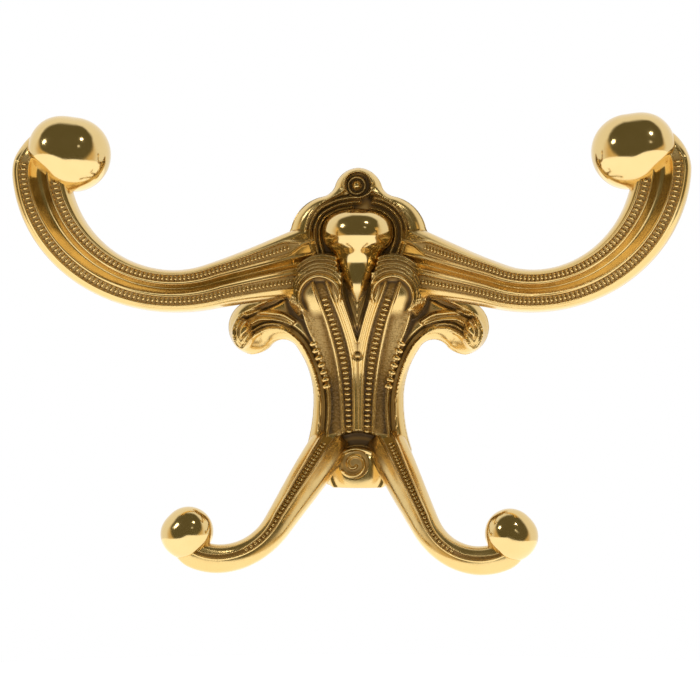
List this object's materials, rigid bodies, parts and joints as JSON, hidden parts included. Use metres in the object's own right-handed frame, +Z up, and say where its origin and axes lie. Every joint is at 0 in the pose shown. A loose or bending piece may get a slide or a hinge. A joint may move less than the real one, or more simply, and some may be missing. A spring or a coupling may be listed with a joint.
{
  "type": "double robe hook",
  "caption": "Polished brass double robe hook: scrolled leaf backplate with long upper arms and short lower arms that end in ball knobs.",
  "frame": {"origin": "centre of the backplate's flat back, on the wall plane, midway between the two stud holes", "axes": "+Z up, -Y out of the wall towards the room, +X to the right as seen from the room"},
  "size_m": [0.1506, 0.0466, 0.1023],
  "materials": {
    "brass": "polished"
  },
  "bodies": {
    "root": {"hook_casting": "brass"}
  },
  "joints": []
}
